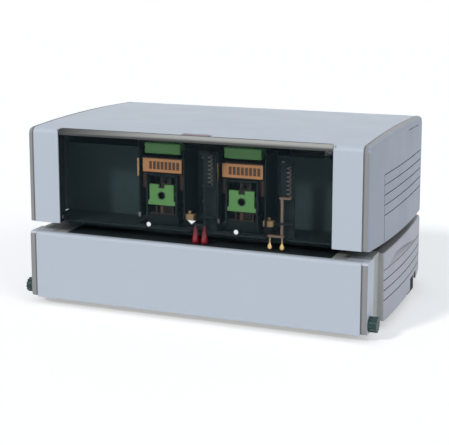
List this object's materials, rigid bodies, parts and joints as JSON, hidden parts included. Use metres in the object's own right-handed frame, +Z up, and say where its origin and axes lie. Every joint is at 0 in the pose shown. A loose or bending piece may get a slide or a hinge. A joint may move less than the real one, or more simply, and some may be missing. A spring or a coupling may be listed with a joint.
{
  "type": "electric stapler",
  "caption": "Twin-head electric desk stapler: two stacked housings with a paper mouth between them, a smoked front window over the stapling heads, and slatted side covers",
  "frame": {"origin": "on the floor, at the middle of the footprint", "axes": "+X to the right along the paper mouth, +Y to the back, +Z up; the front faces -Y"},
  "size_m": [0.4396, 0.275, 0.2217],
  "materials": {
    "pale_cover": "pale lavender grey, fine satin paint",
    "side_grey": "mid grey-blue moulded plastic, fine grain",
    "warm_rim": "warm grey moulded plastic",
    "smoked_pane": "smoked clear plastic",
    "dark_steel": "dark blue-green painted steel",
    "bright_steel": "bare steel",
    "zinc_plate": "zinc-plated steel",
    "black_rubber": "matte rubber",
    "black_plastic": "dark plastic",
    "knob_plastic": "dark grey-green plastic",
    "green_plastic": "green plastic",
    "red_lens": "clear red plastic",
    "brass_tip": "turned brass",
    "brass_gear": "cut brass",
    "board_green": "green circuit board",
    "latch_rose": "reddish grey plastic"
  },
  "bodies": {
    "machine": {"base_pan": "zinc_plate", "chassis_plate_left": "dark_steel", "chassis_plate_right": "dark_steel", "clincher_holder_left": "bright_steel", "clincher_holder_right": "bright_steel", "control_board": "board_green", "corner_column_left": "warm_rim", "corner_column_right": "warm_rim", "drive_motor": "zinc_plate", "feeler_spring_left": "bright_steel", "feeler_spring_right": "bright_steel", "front_foot_left": "black_rubber", "front_foot_right": "black_rubber", "head_frame_left": "dark_steel", "head_frame_right": "dark_steel", "head_mounting_plate": "dark_steel", "lower_rear_cover": "pale_cover", "lower_side_cover_left": "side_grey", "lower_side_cover_right": "side_grey", "motor_bracket": "zinc_plate", "mouth_top_plate": "dark_steel", "paper_table": "dark_steel", "power_inlet": "black_plastic", "rear_foot_left": "black_rubber", "rear_foot_right": "black_rubber", "top_cover": "pale_cover", "upper_rear_cover": "pale_cover", "upper_side_cover_left": "side_grey", "upper_side_cover_right": "side_grey"},
    "window_door": {"window": "smoked_pane", "window_trim": "warm_rim"},
    "latch": {"window_latch": "latch_rose"},
    "front_cover": {"lower_front_cover": "pale_cover", "front_cover_cap_left": "warm_rim", "front_cover_cap_right": "warm_rim"},
    "drive": {"drive_shaft": "bright_steel", "drive_gear": "bright_steel", "drive_cam_left": "bright_steel", "drive_cam_right": "bright_steel"},
    "idler": {"idler_gear": "brass_gear"},
    "pinion": {"motor_pinion": "bright_steel"},
    "switch": {"rocker_switch": "black_plastic"},
    "knob_left": {"pivot_knob_left": "knob_plastic"},
    "carriage_left": {"head_carriage_left": "dark_steel"},
    "staple_cartridge_left": {"cartridge_left": "black_plastic"},
    "lever_left": {"cartridge_lever_left": "green_plastic"},
    "gate_left": {"jam_gate_left": "green_plastic"},
    "driver_left": {"driver_slide_left": "bright_steel"},
    "feeler_left": {"paper_feeler_left": "red_lens"},
    "wing_left_left": {"clincher_wing_left_left": "bright_steel"},
    "wing_left_right": {"clincher_wing_left_right": "bright_steel"},
    "knob_right": {"pivot_knob_right": "knob_plastic"},
    "carriage_right": {"head_carriage_right": "dark_steel"},
    "staple_cartridge_right": {"cartridge_right": "black_plastic"},
    "lever_right": {"cartridge_lever_right": "green_plastic"},
    "gate_right": {"jam_gate_right": "green_plastic"},
    "driver_right": {"driver_slide_right": "bright_steel"},
    "feeler_right": {"paper_feeler_right": "brass_tip"},
    "wing_right_left": {"clincher_wing_right_left": "bright_steel"},
    "wing_right_right": {"clincher_wing_right_right": "bright_steel"}
  },
  "joints": [
    {"name": "window_hinge", "type": "hinge", "parent": "machine", "child": "window_door", "pos_m": [0, -0.13, 0.11], "axis": [1, 0, 0], "range_deg": [0, 90]},
    {"name": "latch_slide", "type": "slide", "parent": "machine", "child": "latch", "axis": [1, 0, 0], "range_m": [0, 0.0045]},
    {"name": "front_cover_hinge", "type": "hinge", "parent": "machine", "child": "front_cover", "pos_m": [0, -0.1265, 0.02], "axis": [1, 0, 0], "range_deg": [0, 85]},
    {"name": "drive_turn", "type": "hinge", "parent": "machine", "child": "drive", "pos_m": [0, -0.0295, 0.1624], "axis": [-1, 0, 0], "range_deg": [0, 180]},
    {"name": "idler_turn", "type": "hinge", "parent": "machine", "child": "idler", "pos_m": [0.141, 0.0095, 0.1624], "axis": [1, 0, 0], "range_deg": [0, 600]},
    {"name": "motor_turn", "type": "hinge", "parent": "machine", "child": "pinion", "pos_m": [0.141, 0.0455, 0.1624], "axis": [-1, 0, 0], "range_deg": [0, 1800]},
    {"name": "switch_rock", "type": "hinge", "parent": "machine", "child": "switch", "pos_m": [-0.108, 0.132, 0.046], "axis": [1, 0, 0], "range_deg": [0, 12]},
    {"name": "knob_left_turn", "type": "hinge", "parent": "machine", "child": "knob_left", "pos_m": [-0.21, -0.1265, 0.02], "axis": [-1, 0, 0], "range_deg": [0, 180]},
    {"name": "carriage_left_press", "type": "slide", "parent": "machine", "child": "carriage_left", "axis": [0, 0, -1], "range_m": [0, 0.012]},
    {"name": "cartridge_left_draw", "type": "slide", "parent": "carriage_left", "child": "staple_cartridge_left", "axis": [0, -1, 0], "range_m": [0, 0.025]},
    {"name": "lever_left_lift", "type": "hinge", "parent": "staple_cartridge_left", "child": "lever_left", "pos_m": [-0.0488, -0.085, 0.1948], "axis": [-1, 0, 0], "range_deg": [0, 25]},
    {"name": "gate_left_tip", "type": "hinge", "parent": "carriage_left", "child": "gate_left", "pos_m": [-0.0488, -0.10455, 0.1315], "axis": [1, 0, 0], "range_deg": [0, 55]},
    {"name": "driver_left_strike", "type": "slide", "parent": "carriage_left", "child": "driver_left", "axis": [0, 0, -1], "range_m": [0, 0.006]},
    {"name": "feeler_left_lift", "type": "slide", "parent": "machine", "child": "feeler_left", "axis": [0, 0, 1], "range_m": [0, 0.0045], "stiffness_N_per_m": 60, "springref_m": -0.003, "deforming": ["feeler_spring_left"]},
    {"name": "wing_left_left_swing", "type": "hinge", "parent": "machine", "child": "wing_left_left", "pos_m": [-0.0582, -0.09275, 0.0857], "axis": [0, -1, 0], "range_deg": [0, 20]},
    {"name": "wing_left_right_swing", "type": "hinge", "parent": "machine", "child": "wing_left_right", "pos_m": [-0.0394, -0.09275, 0.0857], "axis": [0, 1, 0], "range_deg": [0, 20]},
    {"name": "knob_right_turn", "type": "hinge", "parent": "machine", "child": "knob_right", "pos_m": [0.21, -0.1265, 0.02], "axis": [1, 0, 0], "range_deg": [0, 180]},
    {"name": "carriage_right_press", "type": "slide", "parent": "machine", "child": "carriage_right", "axis": [0, 0, -1], "range_m": [0, 0.012]},
    {"name": "cartridge_right_draw", "type": "slide", "parent": "carriage_right", "child": "staple_cartridge_right", "axis": [0, -1, 0], "range_m": [0, 0.025]},
    {"name": "lever_right_lift", "type": "hinge", "parent": "staple_cartridge_right", "child": "lever_right", "pos_m": [0.0522, -0.085, 0.1948], "axis": [-1, 0, 0], "range_deg": [0, 25]},
    {"name": "gate_right_tip", "type": "hinge", "parent": "carriage_right", "child": "gate_right", "pos_m": [0.0522, -0.10455, 0.1315], "axis": [1, 0, 0], "range_deg": [0, 55]},
    {"name": "driver_right_strike", "type": "slide", "parent": "carriage_right", "child": "driver_right", "axis": [0, 0, -1], "range_m": [0, 0.006]},
    {"name": "feeler_right_lift", "type": "slide", "parent": "machine", "child": "feeler_right", "axis": [0, 0, 1], "range_m": [0, 0.0045], "stiffness_N_per_m": 60, "springref_m": -0.003, "deforming": ["feeler_spring_right"]},
    {"name": "wing_right_left_swing", "type": "hinge", "parent": "machine", "child": "wing_right_left", "pos_m": [0.0428, -0.09275, 0.0857], "axis": [0, -1, 0], "range_deg": [0, 20]},
    {"name": "wing_right_right_swing", "type": "hinge", "parent": "machine", "child": "wing_right_right", "pos_m": [0.0616, -0.09275, 0.0857], "axis": [0, 1, 0], "range_deg": [0, 20]}
  ],
  "couplings": [
    {"joint": "idler_turn", "follows": "drive_turn", "ratio": 3.3333},
    {"joint": "motor_turn", "follows": "drive_turn", "ratio": 10},
    {"joint": "carriage_left_press", "follows": "drive_turn", "m_per_rad": 0.0038197},
    {"joint": "driver_left_strike", "follows": "drive_turn", "m_per_rad": 0.0019099},
    {"joint": "wing_left_left_swing", "follows": "drive_turn", "ratio": 0.11111},
    {"joint": "wing_left_right_swing", "follows": "drive_turn", "ratio": 0.11111},
    {"joint": "carriage_right_press", "follows": "drive_turn", "m_per_rad": 0.0038197},
    {"joint": "driver_right_strike", "follows": "drive_turn", "m_per_rad": 0.0019099},
    {"joint": "wing_right_left_swing", "follows": "drive_turn", "ratio": 0.11111},
    {"joint": "wing_right_right_swing", "follows": "drive_turn", "ratio": 0.11111}
  ]
}
